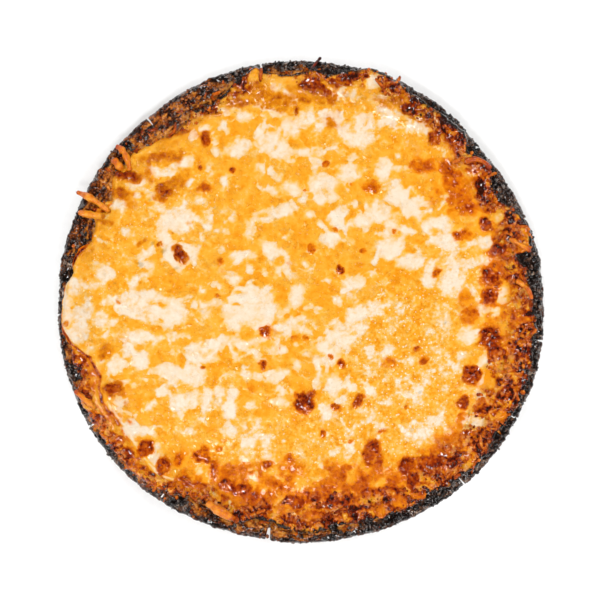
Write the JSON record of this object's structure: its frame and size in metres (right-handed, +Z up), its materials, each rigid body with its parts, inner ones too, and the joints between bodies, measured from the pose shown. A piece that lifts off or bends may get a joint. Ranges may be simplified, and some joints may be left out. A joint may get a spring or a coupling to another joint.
{
  "type": "spicy cheese pizza",
  "caption": "Whole round pan pizza: a flat dish of baked dough with a raised, cracked, charred rim, filled with melted cheese that browns and crisps towards its edge.",
  "frame": {"origin": "middle of the flat underside of the crust", "axes": "+Z up out of the cheese; seen from above, +X is the right and +Y the top of the picture"},
  "size_m": [0.2536, 0.2517, 0.0176],
  "materials": {
    "crust": "charred and browned dough, matt with a slight oily sheen",
    "cheese": "melted orange and cream cheese, soft gloss, browned blisters"
  },
  "bodies": {
    "root": {"crust": "crust", "cheese": "cheese"}
  },
  "joints": []
}
